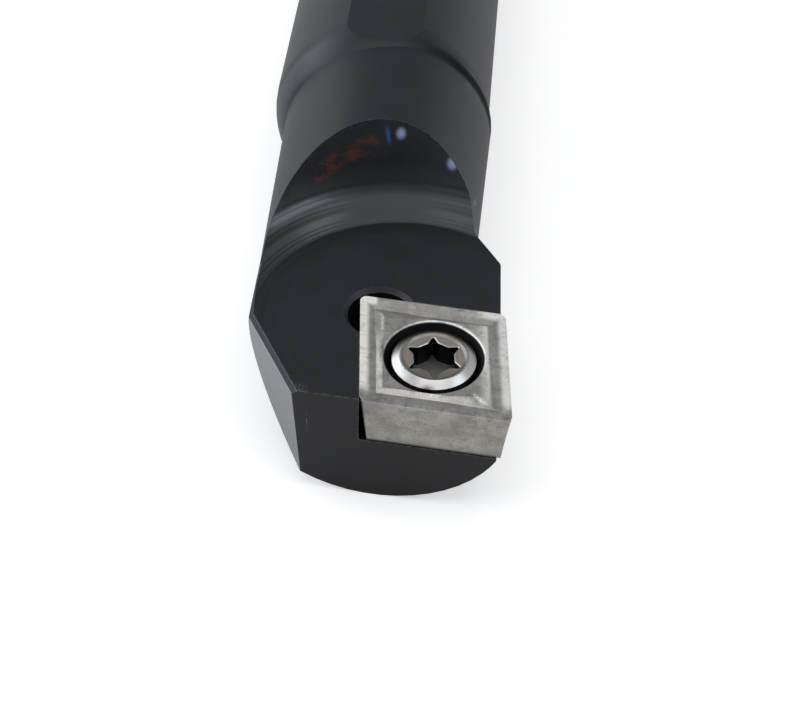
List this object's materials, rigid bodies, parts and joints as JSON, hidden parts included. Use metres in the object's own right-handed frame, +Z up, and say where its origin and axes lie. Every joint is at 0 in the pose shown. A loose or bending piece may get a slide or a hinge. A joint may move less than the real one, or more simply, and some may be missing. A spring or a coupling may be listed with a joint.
{
  "type": "boring bar",
  "caption": "Screw-clamp boring bar for internal turning, right hand, with a round shank milled flat on two sides and a rhombic indexable insert.",
  "frame": {"origin": "centre of the shank's rear face, on the shank's axis", "axes": "+Y out of the rear along the shank's axis, +Z up towards the side that the insert's rake face looks to, +X towards the side the cutting nose stands out to"},
  "size_m": [0.019, 0.18, 0.0168],
  "materials": {
    "blackened_steel": "satin black oxide",
    "carbide": "satin, ground",
    "screw_steel": "bright satin"
  },
  "bodies": {
    "root": {"bar": "blackened_steel", "insert": "carbide", "clamp_screw": "screw_steel"}
  },
  "joints": []
}
